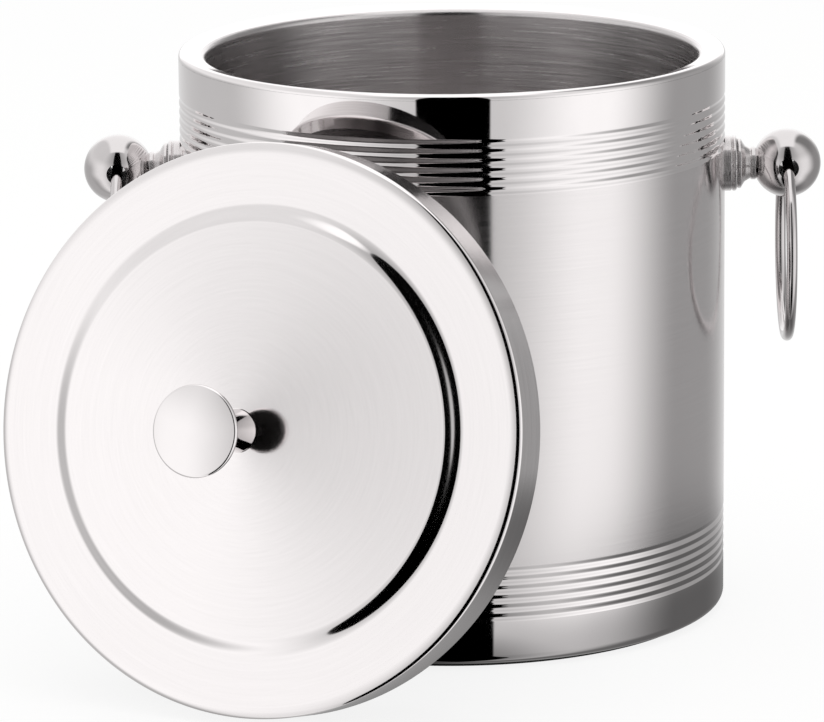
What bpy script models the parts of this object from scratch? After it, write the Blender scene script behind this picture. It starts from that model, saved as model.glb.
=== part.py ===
"""Double-wall steel ice bucket with two ring handles and its lid leaning on the wall.

Metres, +Z up. The origin is the centre of the foot pad on the table, the handles point
along +X and -X, and the lid stands in front of the bucket, towards -Y and -X.
"""
import math

import bmesh
import bpy

# Bucket walls
BUCKET_RADIUS = 0.0825
BUCKET_HEIGHT = 0.1720
SHELL_SHEET = 0.0008
LINER_SHEET = 0.0009
RIM_OUTER_ROUND = 0.0018
RIM_INNER_ROUND = 0.0018
RIM_DROP = 0.0011
LINER_CORNER = 0.010
LINER_FLOOR_GAP = 0.006

# Ribs rolled into the sleeve
RIB_COUNT = 6
RIB_PITCH = 0.0028
RIB_DEPTH = 0.00035
TOP_BAND = 0.0129
BOTTOM_BAND = 0.0144

# Foot of the bucket
BASE_CORNER = 0.0040
BASE_FLANGE = 0.0065
BASE_SHEET = 0.0008
PAD_PROUD = 0.0011
PAD_INSET = 0.0008

# Handle fittings, measured outwards from the wall
HANDLE_DROP = 0.0365
COLLAR_RADIUS = 0.00835
COLLAR_LENGTH = 0.00355
COLLAR_FLANGE = 0.0005
COLLAR_GROOVE = 0.0004
COLLAR_ROUND = 0.0006
POST_DISC_RADIUS = 0.0076
POST_DISC_LENGTH = 0.0009
POST_CONE_LENGTH = 0.0029
POST_NECK_RADIUS = 0.0046
POST_NECK_LENGTH = 0.0020
POST_BEAD = 0.0005
BALL_RADIUS = 0.0103
BORE_WEB = 0.0030

# Handle rings
RING_RADIUS = 0.0270
WIRE_RADIUS = 0.00165
RING_CLEARANCE = 0.0003

# Fasteners
SCREW_RADIUS = 0.0021
SCREW_HEAD_RADIUS = 0.0043
SCREW_HEAD_LENGTH = 0.0022
SCREW_HOLE_CLEARANCE = 0.0005
WASHER_RADIUS = 0.0050
WASHER_SHEET = 0.0008
PLATE_SIZE = 0.0190
PLATE_SHEET = 0.0010
HEAD_TO_LINER = 0.0010

# Lid
LID_INSET = 0.0004
LID_SIDE = 0.0146
LID_SHEET = 0.0008
LID_EDGE_RUN = 0.0035
LID_EDGE_DROP = 0.0015
LID_HEM_ROUND = 0.0010
LID_BORDER = 0.0174
STEP_RUN = 0.0050
STEP_RISE = 0.0023
CONE_RISE = 0.0103
PLUG_CLEARANCE = 0.0012
PLUG_TAPER = 0.0032
PLUG_DEPTH = 0.0250
PLUG_CORNER = 0.0030
LID_YAW = math.radians(25.0)
LID_LEAN = math.radians(12.3)

# Knob
NECK_RADIUS = 0.0062
NECK_WAIST = 0.0008
NECK_LENGTH = 0.0180
BOSS_MARGIN = 0.0008
CAP_RADIUS = 0.0131
CAP_STEM = 0.0062
CAP_EDGE_ROUND = 0.0009
CAP_EDGE_SLOPE = math.radians(12.0)
CAP_BORE = 0.0070

# Fits and facets
SEAT_GAP = 0.0003
MERGE_DISTANCE = 1e-7
BODY_STEPS = 48
FITTING_STEPS = 24
SCREW_STEPS = 16
RING_STEPS = 40
WIRE_STEPS = 8
ARC_STEPS = 3
BALL_STEPS = 8
CUTTER_STEPS = 128
SHARP_ANGLE = math.radians(35.0)

# Sizes that follow from the ones above
SHELL_WALL = SHELL_SHEET + RIB_DEPTH
PLATE_INNER_RADIUS = BUCKET_RADIUS - SHELL_WALL - SEAT_GAP - PLATE_SHEET
WASHER_SAG = PLATE_INNER_RADIUS - math.sqrt(PLATE_INNER_RADIUS ** 2 - WASHER_RADIUS ** 2)
WASHER_FACE = SHELL_WALL + SEAT_GAP + PLATE_SHEET + WASHER_SAG + SEAT_GAP
HEAD_FACE = WASHER_FACE + WASHER_SHEET + SEAT_GAP
LINER_RADIUS = BUCKET_RADIUS - HEAD_FACE - SCREW_HEAD_LENGTH - HEAD_TO_LINER - LINER_SHEET
SHELL_FOOT = PAD_PROUD + SEAT_GAP
FLANGE_RADIUS = BUCKET_RADIUS - BASE_CORNER - BASE_FLANGE
PLATE_FLOOR = SHELL_FOOT + SHELL_WALL + SEAT_GAP
LINER_FLOOR = PLATE_FLOOR + BASE_SHEET + LINER_FLOOR_GAP + LINER_SHEET
HANDLE_HEIGHT = BUCKET_HEIGHT - HANDLE_DROP
SCREW_HOLE_RADIUS = SCREW_RADIUS + SCREW_HOLE_CLEARANCE
THREAD_RADIUS = SCREW_RADIUS + SEAT_GAP
POST_START = COLLAR_LENGTH + SEAT_GAP
NECK_START = POST_START + POST_DISC_LENGTH + POST_CONE_LENGTH
BALL_START = NECK_START + POST_NECK_LENGTH
BALL_CENTRE = BALL_START + math.sqrt(BALL_RADIUS ** 2 - POST_NECK_RADIUS ** 2)
RING_SAG = RING_RADIUS - math.sqrt(RING_RADIUS ** 2 - BALL_RADIUS ** 2)
RING_HOLE_RADIUS = RING_SAG / 2 + WIRE_RADIUS + RING_CLEARANCE
THREAD_END = BALL_CENTRE - RING_HOLE_RADIUS - BORE_WEB
LID_RADIUS = BUCKET_RADIUS - LID_INSET
STEP_RADIUS = LID_RADIUS - LID_BORDER
BOSS_RADIUS = NECK_RADIUS + BOSS_MARGIN
BOSS_HEIGHT = LID_SIDE + STEP_RISE + CONE_RISE
PLUG_TOP_RADIUS = LINER_RADIUS - PLUG_CLEARANCE
PLUG_FOOT_RADIUS = PLUG_TOP_RADIUS - PLUG_TAPER
HEM_RADIUS = (PLUG_TOP_RADIUS + LID_RADIUS - LID_SHEET) / 2
NECK_START_HEIGHT = BOSS_HEIGHT + SEAT_GAP
CAP_START = NECK_START_HEIGHT + NECK_LENGTH + SEAT_GAP
CAP_RIM = CAP_START + CAP_STEM + CAP_EDGE_ROUND
CAP_EDGE_RADIUS = CAP_RADIUS - CAP_EDGE_ROUND


def arc(centre_r, centre_z, radius, start, end, steps=ARC_STEPS):
    """Points along an arc in the (radius, height) half plane, angles in degrees."""
    points = []
    for step in range(steps + 1):
        angle = math.radians(start + (end - start) * step / steps)
        points.append((centre_r + radius * math.cos(angle), centre_z + radius * math.sin(angle)))
    return points


def finish(name, colour, roughness, metallic):
    """A plain Principled material."""
    material = bpy.data.materials.new(name)
    material.use_nodes = True
    shader = material.node_tree.nodes["Principled BSDF"]
    shader.inputs["Base Color"].default_value = (*colour, 1.0)
    shader.inputs["Roughness"].default_value = roughness
    shader.inputs["Metallic"].default_value = metallic
    return material


def add_object(name, mesh, material=None, parent=None, location=(0.0, 0.0, 0.0)):
    """Turn a bmesh into a named, smooth-shaded object."""
    bmesh.ops.remove_doubles(mesh, verts=mesh.verts, dist=MERGE_DISTANCE)
    bmesh.ops.recalc_face_normals(mesh, faces=mesh.faces)
    data = bpy.data.meshes.new(name)
    mesh.to_mesh(data)
    mesh.free()
    data.shade_smooth()
    data.set_sharp_from_angle(angle=SHARP_ANGLE)
    if material:
        data.materials.append(material)
    thing = bpy.data.objects.new(name, data)
    bpy.context.collection.objects.link(thing)
    thing.parent = parent
    thing.location = location
    return thing


def add_empty(name, location, rotation):
    """An empty that carries the pieces of one fitting."""
    empty = bpy.data.objects.new(name, None)
    empty.location = location
    empty.rotation_euler = rotation
    bpy.context.collection.objects.link(empty)
    return empty


def turned_mesh(profile, steps, sweep=math.tau):
    """Spin a profile about Z. One that starts and ends on the axis is left open there."""
    mesh = bmesh.new()
    ring = [mesh.verts.new((radius, 0.0, height)) for radius, height in profile]
    on_axis = profile[0][0] == 0.0 and profile[-1][0] == 0.0
    pairs = list(zip(ring, ring[1:]))
    if not on_axis:
        pairs.append((ring[-1], ring[0]))
    edges = [mesh.edges.new(pair) for pair in pairs]
    bmesh.ops.spin(
        mesh, geom=ring + edges, axis=(0.0, 0.0, 1.0), cent=(0.0, 0.0, 0.0),
        dvec=(0.0, 0.0, 0.0), angle=sweep, steps=steps, use_merge=True,
    )
    return mesh


def turned(name, profile, material, parent=None, location=(0.0, 0.0, 0.0), steps=BODY_STEPS):
    """A piece turned about its own Z axis."""
    return add_object(name, turned_mesh(profile, steps), material, parent, location)


def drill(target, cutter):
    """Cut one object with another, which stays as a wire guide."""
    cutter.hide_render = True
    cutter.display_type = "WIRE"
    cut = target.modifiers.new(cutter.name, "BOOLEAN")
    cut.operation = "DIFFERENCE"
    cut.object = cutter


def rod_cutter(
    name, radius, length, parent=None, location=(0.0, 0.0, 0.0), turn=(0.0, 0.0, 0.0), steps=SCREW_STEPS,
):
    """A plain round cutter centred on its own origin, along its own Z before it is turned."""
    half = length / 2
    profile = [(0.0, half), (radius, half), (radius, -half), (0.0, -half)]
    cutter = turned(name, profile, None, parent, location, steps)
    cutter.rotation_euler = turn
    return cutter


def rib_band(top):
    """One band of ribs from its top edge down: a groove in the middle of each pitch, crests at its edges."""
    points = [(BUCKET_RADIUS, top)]
    for rib in range(RIB_COUNT):
        edge = top - rib * RIB_PITCH
        points.append((BUCKET_RADIUS - RIB_DEPTH, edge - RIB_PITCH / 2))
        points.append((BUCKET_RADIUS, edge - RIB_PITCH))
    return points


def build_bucket(polished, brushed, satin, rubber):
    """The sleeve, the liner, the base plate and the foot pad."""
    corner_r = BUCKET_RADIUS - BASE_CORNER
    corner_z = SHELL_FOOT + BASE_CORNER
    shell_top = BUCKET_HEIGHT - RIM_OUTER_ROUND - SEAT_GAP
    ribs_top = BUCKET_HEIGHT - TOP_BAND
    ribs_bottom = BOTTOM_BAND + RIB_COUNT * RIB_PITCH
    shell = turned("outer_shell", [
        (BUCKET_RADIUS, shell_top),
        *rib_band(ribs_top),
        *rib_band(ribs_bottom),
        *arc(corner_r, corner_z, BASE_CORNER, 0, -90),
        (FLANGE_RADIUS, SHELL_FOOT),
        (FLANGE_RADIUS, SHELL_FOOT + SHELL_WALL),
        *arc(corner_r, corner_z, BASE_CORNER - SHELL_WALL, -90, 0),
        (BUCKET_RADIUS - SHELL_WALL, shell_top),
    ], satin)
    drill(shell, rod_cutter(
        "cutter_shell_holes", SCREW_HOLE_RADIUS, 2 * BUCKET_RADIUS + COLLAR_LENGTH,
        location=(0.0, 0.0, HANDLE_HEIGHT), turn=(0.0, math.pi / 2, 0.0),
    ))

    lip_r = LINER_RADIUS + RIM_INNER_ROUND
    lip_z = BUCKET_HEIGHT - RIM_DROP - RIM_INNER_ROUND
    rim_r = BUCKET_RADIUS - RIM_OUTER_ROUND
    rim_z = BUCKET_HEIGHT - RIM_OUTER_ROUND
    slope = 90 + math.degrees(math.atan2(rim_z - lip_z, rim_r - lip_r))
    bowl_r = LINER_RADIUS - LINER_CORNER
    bowl_z = LINER_FLOOR + LINER_CORNER
    turned("inner_liner", [
        (0.0, LINER_FLOOR),
        *arc(bowl_r, bowl_z, LINER_CORNER, -90, 0),
        *arc(lip_r, lip_z, RIM_INNER_ROUND, 180, slope),
        *arc(rim_r, rim_z, RIM_OUTER_ROUND, slope, 90, 1)[:-1],
        *arc(rim_r, rim_z, RIM_OUTER_ROUND, 90, 0),
        *arc(rim_r, rim_z, RIM_OUTER_ROUND - LINER_SHEET, 0, slope),
        *arc(lip_r, lip_z, RIM_INNER_ROUND - LINER_SHEET, slope, 180),
        *arc(bowl_r, bowl_z, LINER_CORNER + LINER_SHEET, 0, -90),
        (0.0, LINER_FLOOR - LINER_SHEET),
    ], brushed)

    plate_r = BUCKET_RADIUS - BASE_CORNER - SEAT_GAP
    turned("base_plate", [
        (0.0, PLATE_FLOOR + BASE_SHEET),
        (plate_r, PLATE_FLOOR + BASE_SHEET),
        (plate_r, PLATE_FLOOR),
        (0.0, PLATE_FLOOR),
    ], polished)

    pad_r = BUCKET_RADIUS - BASE_CORNER - PAD_INSET
    boss_r = FLANGE_RADIUS - SEAT_GAP
    turned("foot_pad", [
        (0.0, PLATE_FLOOR - SEAT_GAP),
        (boss_r, PLATE_FLOOR - SEAT_GAP),
        (boss_r, PAD_PROUD),
        (pad_r, PAD_PROUD),
        (pad_r, 0.0),
        (0.0, 0.0),
    ], rubber)


def washer_profile(outer_radius, sheet):
    """A flat washer around a screw, its outer face at zero and its body below."""
    return [
        (SCREW_HOLE_RADIUS, 0.0),
        (outer_radius, 0.0),
        (outer_radius, -sheet),
        (SCREW_HOLE_RADIUS, -sheet),
    ]


def screw_profile(shank_length):
    """A pan-head screw: the head's bearing face at zero, the shank above it."""
    edge = SCREW_HEAD_LENGTH / 3
    return [
        (0.0, shank_length),
        (SCREW_RADIUS, shank_length),
        (SCREW_RADIUS, 0.0),
        (SCREW_HEAD_RADIUS, 0.0),
        (SCREW_HEAD_RADIUS, -SCREW_HEAD_LENGTH + edge),
        (SCREW_HEAD_RADIUS - edge, -SCREW_HEAD_LENGTH),
        (0.0, -SCREW_HEAD_LENGTH),
    ]


def build_backing_plate(side, material, axis):
    """A square plate curved to the inside of the sleeve, with a screw hole."""
    outer = PLATE_INNER_RADIUS + PLATE_SHEET
    half = PLATE_SIZE / 2
    sweep = PLATE_SIZE / outer
    mesh = bmesh.new()
    corners = [(outer, -half), (outer, half), (PLATE_INNER_RADIUS, half), (PLATE_INNER_RADIUS, -half)]
    start = [
        mesh.verts.new((
            radius * math.cos(sweep / 2) - BUCKET_RADIUS,
            -radius * math.sin(sweep / 2),
            height,
        ))
        for radius, height in corners
    ]
    section = mesh.faces.new(start)
    bmesh.ops.spin(
        mesh, geom=[section], axis=(0.0, 0.0, 1.0), cent=(-BUCKET_RADIUS, 0.0, 0.0),
        dvec=(0.0, 0.0, 0.0), angle=sweep, steps=ARC_STEPS * 2,
    )
    plate = add_object(f"handle_plate_{side}", mesh, material, axis)
    plate.rotation_euler = (0.0, -math.pi / 2, 0.0)
    drill(plate, rod_cutter(
        f"cutter_plate_{side}", SCREW_HOLE_RADIUS, 2 * BALL_RADIUS, parent=axis,
        location=(0.0, 0.0, -WASHER_FACE),
    ))


def build_handle(side, turn, polished, zinc):
    """One handle: collar, post with its cross-drilled ball, ring and hidden fasteners.

    The carrying empty has its Z axis pointing out of the wall and its X axis pointing down.
    """
    direction = math.cos(turn)
    axis = add_empty(
        f"handle_axis_{side}", (direction * BUCKET_RADIUS, 0.0, HANDLE_HEIGHT), (0.0, math.pi / 2, turn),
    )

    groove_r = COLLAR_RADIUS - COLLAR_GROOVE
    band_start = COLLAR_FLANGE + COLLAR_GROOVE
    collar = turned(f"handle_collar_{side}", [
        (SCREW_HOLE_RADIUS, COLLAR_LENGTH),
        (COLLAR_RADIUS - COLLAR_ROUND, COLLAR_LENGTH),
        (COLLAR_RADIUS, COLLAR_LENGTH - COLLAR_ROUND),
        (COLLAR_RADIUS, band_start + COLLAR_GROOVE),
        (groove_r, band_start),
        (COLLAR_RADIUS, COLLAR_FLANGE),
        (COLLAR_RADIUS, -COLLAR_LENGTH),
        (SCREW_HOLE_RADIUS, -COLLAR_LENGTH),
    ], polished, axis, steps=FITTING_STEPS)
    drill(collar, rod_cutter(
        f"cutter_saddle_{side}", BUCKET_RADIUS + SEAT_GAP, 4 * COLLAR_RADIUS,
        location=(0.0, 0.0, HANDLE_HEIGHT), steps=CUTTER_STEPS,
    ))

    bead_middle = (NECK_START + BALL_START) / 2
    bead_half = POST_NECK_LENGTH / 4
    ball_angle = math.degrees(math.asin(POST_NECK_RADIUS / BALL_RADIUS)) - 90
    post = turned(f"handle_post_{side}", [
        (0.0, THREAD_END),
        (THREAD_RADIUS, THREAD_END),
        (THREAD_RADIUS, POST_START),
        (POST_DISC_RADIUS, POST_START),
        (POST_DISC_RADIUS, POST_START + POST_DISC_LENGTH),
        (POST_NECK_RADIUS, NECK_START),
        (POST_NECK_RADIUS + POST_BEAD, bead_middle - bead_half),
        (POST_NECK_RADIUS + POST_BEAD, bead_middle + bead_half),
        *arc(0.0, BALL_CENTRE, BALL_RADIUS, ball_angle, 90, BALL_STEPS)[:-1],
        (0.0, BALL_CENTRE + BALL_RADIUS),
    ], polished, axis, steps=FITTING_STEPS)
    drill(post, rod_cutter(
        f"cutter_ring_hole_{side}", RING_HOLE_RADIUS, 3 * BALL_RADIUS, parent=axis,
        location=(0.0, 0.0, BALL_CENTRE), turn=(math.pi / 2, 0.0, 0.0),
    ))

    wire = arc(RING_RADIUS, 0.0, WIRE_RADIUS, 0, 360, WIRE_STEPS)[:-1]
    ring_mesh = turned_mesh(wire, RING_STEPS)
    bmesh.ops.translate(ring_mesh, verts=ring_mesh.verts, vec=(RING_RADIUS - RING_SAG / 2, 0.0, 0.0))
    add_object(f"handle_ring_{side}", ring_mesh, polished, axis, (0.0, 0.0, BALL_CENTRE))

    build_backing_plate(side, zinc, axis)
    turned(
        f"handle_washer_{side}", washer_profile(WASHER_RADIUS, WASHER_SHEET), zinc, axis,
        (0.0, 0.0, -WASHER_FACE), SCREW_STEPS,
    )
    turned(
        f"handle_screw_{side}", screw_profile(HEAD_FACE + THREAD_END - SEAT_GAP), zinc, axis,
        (0.0, 0.0, -HEAD_FACE), SCREW_STEPS,
    )


def step_curve(drop):
    """The raised step of the lid from its foot to its top, lowered by a sheet's thickness."""
    points = []
    for step in range(ARC_STEPS + 1):
        share = step / ARC_STEPS
        rise = STEP_RISE * (1 - math.cos(math.pi * share)) / 2
        points.append((STEP_RADIUS - STEP_RUN * share, LID_SIDE + rise - drop))
    return points


def edge_curve(inset):
    """The lid's pressed edge from its skirt up onto the border, moved in by a sheet's thickness."""
    points = []
    for step in range(ARC_STEPS + 1):
        angle = math.pi / 2 * step / ARC_STEPS
        run = (LID_EDGE_RUN - inset) * math.cos(angle)
        rise = (LID_EDGE_DROP - inset) * math.sin(angle)
        points.append((LID_RADIUS - LID_EDGE_RUN + run, LID_SIDE - LID_EDGE_DROP + rise))
    return points


def lid_axis():
    """The lid's own frame: Z out of its face, standing on the table and against the wall."""
    lean_cos = math.cos(LID_LEAN)
    lean_sin = math.sin(LID_LEAN)
    plug_reach = (PLUG_DEPTH - PLUG_CORNER) * lean_cos + (PLUG_FOOT_RADIUS - PLUG_CORNER) * lean_sin
    distance = BUCKET_RADIUS + SEAT_GAP + PLUG_CORNER + plug_reach
    height = LID_HEM_ROUND + (LID_RADIUS - LID_HEM_ROUND) * lean_cos - LID_HEM_ROUND * lean_sin
    heading = math.atan2(-math.cos(LID_YAW), -math.sin(LID_YAW))
    place = (distance * math.cos(heading), distance * math.sin(heading), height)
    return add_empty("lid_axis", place, (0.0, math.pi / 2 - LID_LEAN, heading))


def build_lid(polished, brushed, zinc):
    """The cover, the plug pan and the knob with its screw and washer."""
    axis = lid_axis()
    hem_r = LID_RADIUS - LID_HEM_ROUND
    turned("lid_cover", [
        (HEM_RADIUS, 0.0),
        *arc(hem_r, LID_HEM_ROUND, LID_HEM_ROUND, -90, 0),
        *edge_curve(0.0),
        *step_curve(0.0),
        (BOSS_RADIUS, BOSS_HEIGHT),
        (SCREW_HOLE_RADIUS, BOSS_HEIGHT),
        (SCREW_HOLE_RADIUS, BOSS_HEIGHT - LID_SHEET),
        (BOSS_RADIUS, BOSS_HEIGHT - LID_SHEET),
        *reversed(step_curve(LID_SHEET)),
        *reversed(edge_curve(LID_SHEET)),
        (LID_RADIUS - LID_SHEET, LID_SHEET),
        (HEM_RADIUS, LID_SHEET),
    ], brushed, axis)

    flange_r = LID_RADIUS - LID_SHEET - SEAT_GAP
    flange_z = LID_SHEET + SEAT_GAP
    foot_r = PLUG_FOOT_RADIUS - PLUG_CORNER
    foot_z = PLUG_CORNER - PLUG_DEPTH
    turned("lid_pan", [
        (0.0, -PLUG_DEPTH),
        *arc(foot_r, foot_z, PLUG_CORNER, -90, 0),
        (PLUG_TOP_RADIUS, flange_z),
        (flange_r, flange_z),
        (flange_r, flange_z + LID_SHEET),
        (PLUG_TOP_RADIUS - LID_SHEET, flange_z + LID_SHEET),
        *arc(foot_r, foot_z, PLUG_CORNER - LID_SHEET, 0, -90),
        (0.0, LID_SHEET - PLUG_DEPTH),
    ], brushed, axis)

    neck_middle = NECK_LENGTH / 2
    turned("knob_neck", [
        (SCREW_HOLE_RADIUS, NECK_LENGTH),
        (NECK_RADIUS, NECK_LENGTH),
        (NECK_RADIUS - NECK_WAIST, neck_middle),
        (NECK_RADIUS, 0.0),
        (SCREW_HOLE_RADIUS, 0.0),
    ], polished, axis, (0.0, 0.0, NECK_START_HEIGHT), FITTING_STEPS)

    dome_radius = CAP_EDGE_ROUND + CAP_EDGE_RADIUS / math.sin(CAP_EDGE_SLOPE)
    dome_centre = CAP_RIM - CAP_EDGE_RADIUS / math.tan(CAP_EDGE_SLOPE)
    dome_angle = 90 - math.degrees(CAP_EDGE_SLOPE)
    thread_end = CAP_START + CAP_BORE
    turned("knob_cap", [
        (0.0, thread_end),
        (THREAD_RADIUS, thread_end),
        (THREAD_RADIUS, CAP_START),
        (NECK_RADIUS, CAP_START),
        (NECK_RADIUS, CAP_START + CAP_STEM),
        *arc(CAP_EDGE_RADIUS, CAP_RIM, CAP_EDGE_ROUND, -90, dome_angle, BALL_STEPS),
        *arc(0.0, dome_centre, dome_radius, dome_angle, 90)[1:-1],
        (0.0, dome_centre + dome_radius),
    ], polished, axis, steps=2 * SCREW_STEPS)

    washer_z = BOSS_HEIGHT - LID_SHEET - SEAT_GAP
    head_z = washer_z - WASHER_SHEET - SEAT_GAP
    turned(
        "knob_washer", washer_profile(WASHER_RADIUS, WASHER_SHEET), zinc, axis,
        (0.0, 0.0, washer_z), SCREW_STEPS,
    )
    turned(
        "knob_screw", screw_profile(thread_end - SEAT_GAP - head_z), zinc, axis,
        (0.0, 0.0, head_z), SCREW_STEPS,
    )


def main():
    """Clear the scene and build the bucket, its handles and its lid."""
    for thing in list(bpy.data.objects):
        bpy.data.objects.remove(thing, do_unlink=True)
    polished = finish("polished_stainless_steel", (0.78, 0.78, 0.78), 0.08, 1.0)
    brushed = finish("brushed_stainless_steel", (0.66, 0.66, 0.66), 0.28, 1.0)
    satin = finish("satin_stainless_steel", (0.70, 0.70, 0.70), 0.24, 1.0)
    zinc = finish("zinc_plated_steel", (0.55, 0.56, 0.57), 0.35, 1.0)
    rubber = finish("black_rubber", (0.012, 0.012, 0.012), 0.7, 0.0)
    build_bucket(polished, brushed, satin, rubber)
    build_handle("right", 0.0, polished, zinc)
    build_handle("left", math.pi, polished, zinc)
    build_lid(polished, brushed, zinc)


main()
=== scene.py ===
"""Looks of a double-wall steel ice bucket: turned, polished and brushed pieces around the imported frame.

Sizes in the classes are millimetres. Meshes, lamps and the camera are metres, in the frame's own axes:
+Z up along the bucket, handles on +X and -X, the lid leaning in front towards -Y and -X.
"""
import logging
import math
from dataclasses import dataclass
from enum import Enum

import bmesh
import bpy
from mathutils import Matrix, Vector


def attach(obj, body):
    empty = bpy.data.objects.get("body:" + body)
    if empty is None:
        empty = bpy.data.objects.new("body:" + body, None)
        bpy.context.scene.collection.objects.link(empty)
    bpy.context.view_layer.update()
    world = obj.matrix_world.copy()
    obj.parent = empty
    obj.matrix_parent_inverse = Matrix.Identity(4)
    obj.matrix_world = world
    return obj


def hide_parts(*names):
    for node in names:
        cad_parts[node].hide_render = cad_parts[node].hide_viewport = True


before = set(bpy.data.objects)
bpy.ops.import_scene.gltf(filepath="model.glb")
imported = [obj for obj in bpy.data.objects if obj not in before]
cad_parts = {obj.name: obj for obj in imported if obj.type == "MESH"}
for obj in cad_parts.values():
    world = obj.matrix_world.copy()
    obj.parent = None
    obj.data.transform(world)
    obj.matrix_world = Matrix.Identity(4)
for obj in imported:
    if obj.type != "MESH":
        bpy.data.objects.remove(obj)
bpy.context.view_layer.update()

LOG = logging.getLogger("ice_bucket")
MM = 0.001
MERGE_DISTANCE = 2e-6
SHARP_ANGLE = math.radians(34.0)
DEGREES_PER_FACET = 9.0
SUPPORT = 0.12
SHORT_STRAIGHT = 4 * SUPPORT
BODY_STEPS = 288
FITTING_STEPS = 96
CUTTER_STEPS = 64
RING_STEPS = 160
WIRE_STEPS = 32
CURVE_STEPS = 20
WAIST_STEPS = 16
HALF_TURN = 180.0
WALL_RADIUS = 82.5
BORE_RADIUS = 2.6
FINISH_ATTRIBUTE = "finish"

Socket = bpy.types.NodeSocket
Node = bpy.types.Node
Tree = bpy.types.NodeTree
Material = bpy.types.Material
Mesh = bpy.types.Mesh


def linear(colour: str) -> tuple[float, float, float, float]:
    """Turn an sRGB hex colour into linear RGBA.

    Args:
        colour: Six hex digits after a hash sign.

    Returns:
        Linear red, green, blue and an alpha of one.
    """
    shares = [int(colour[place:place + 2], 16) / 255 for place in (1, 3, 5)]
    red, green, blue = (
        share / 12.92 if share <= 0.04045 else ((share + 0.055) / 1.055) ** 2.4 for share in shares
    )
    return red, green, blue, 1.0


def add_node(tree: Tree, kind: str, inputs: dict | None = None, **settings) -> Node:
    """Add one node with its settings, its values and the links that come into it.

    Args:
        tree: The tree that takes the node.
        kind: Blender's name for the node's type.
        inputs: Socket name or number to a value, a socket, or a node whose first output is meant.
        **settings: Attributes of the node, such as its operation.

    Returns:
        The new node.
    """
    node = tree.nodes.new(kind)
    for name, value in settings.items():
        setattr(node, name, value)
    for key, value in (inputs or {}).items():
        if isinstance(value, Node):
            tree.links.new(value.outputs[0], node.inputs[key])
        elif isinstance(value, Socket):
            tree.links.new(value, node.inputs[key])
        else:
            node.inputs[key].default_value = value
    return node


def show(name: str, data: bpy.types.ID) -> bpy.types.Object:
    """Put a mesh, a lamp or a camera into the scene.

    Args:
        name: Name of the object.
        data: What it shows.

    Returns:
        The new object.
    """
    thing = bpy.data.objects.new(name, data)
    bpy.context.scene.collection.objects.link(thing)
    return thing


def even_shares(steps: int) -> list[float]:
    """Even shares from nothing to one, both included."""
    return [step / steps for step in range(steps + 1)]


class Side(Enum):
    """The two handles, with the direction in which each points along X."""

    LEFT = -1.0
    RIGHT = 1.0


class Stretch(Enum):
    """Which finish a stretch of a turned outline takes."""

    FIRST = 0
    SECOND = 1
    THIRD = 2


@dataclass(frozen=True)
class Corner:
    """A corner of a turned outline, in millimetres.

    The finish is that of the stretch that arrives at the corner, its rounding included.
    """

    r: float
    z: float
    round: float = 0.0
    finish: Stretch = Stretch.FIRST


def arc(
    r: float, z: float, radius: float, start: float, end: float, finish: Stretch = Stretch.FIRST,
) -> list[Corner]:
    """Corners along an arc, close enough together to look round.

    Args:
        r: Distance of the arc's centre from the axis.
        z: Place of the arc's centre along the axis.
        radius: The arc's radius.
        start: First angle in degrees, from the direction of growing r.
        end: Last angle in degrees.
        finish: Finish of the whole arc.

    Returns:
        The arc's points with no rounding of their own.
    """
    steps = max(4, round(abs(end - start) / DEGREES_PER_FACET * 2))
    angles = [math.radians(start + (end - start) * step / steps) for step in range(steps + 1)]
    return [
        Corner(max(0.0, r + radius * math.cos(angle)), z + radius * math.sin(angle), 0.0, finish)
        for angle in angles
    ]


def softened(corners: list[Corner]) -> list[tuple[Vector, Stretch]]:
    """Round an outline's corners, with a support point on each straight beside a rounding.

    Args:
        corners: The outline from its first point to its last.

    Returns:
        Points of (r, z), each with the finish of the stretch that arrives at it.
    """
    spots = [Vector((corner.r, corner.z)) for corner in corners]
    reach = [0.0] * len(corners)
    for index in range(1, len(corners) - 1):
        if corners[index].round:
            half = (spots[index - 1] - spots[index]).angle(spots[index + 1] - spots[index]) / 2
            reach[index] = corners[index].round / math.tan(half)
    points = [(spots[0], corners[0].finish)]
    for index in range(1, len(corners)):
        finish = corners[index].finish
        back = spots[index - 1] - spots[index]
        straight = back.length - reach[index - 1] - reach[index]
        toward = back.normalized()
        if reach[index - 1] and straight > SHORT_STRAIGHT:
            points.append((spots[index - 1] - toward * (reach[index - 1] + SUPPORT), finish))
        if not reach[index]:
            points.append((spots[index], finish))
            continue
        if straight > SHORT_STRAIGHT:
            points.append((spots[index] + toward * (reach[index] + SUPPORT), finish))
        onward = (spots[index + 1] - spots[index]).normalized()
        start = spots[index] + toward * reach[index]
        end = spots[index] + onward * reach[index]
        bisector = (toward + onward).normalized()
        centre = spots[index] + bisector * math.hypot(reach[index], corners[index].round)
        first = math.atan2(start.y - centre.y, start.x - centre.x)
        turn = math.atan2(end.y - centre.y, end.x - centre.x) - first
        turn = (turn + math.pi) % math.tau - math.pi
        steps = max(2, round(abs(math.degrees(turn)) / DEGREES_PER_FACET))
        for step in range(steps + 1):
            angle = first + turn * step / steps
            spoke = Vector((math.cos(angle), math.sin(angle))) * corners[index].round
            points.append((centre + spoke, finish))
    return points


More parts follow.
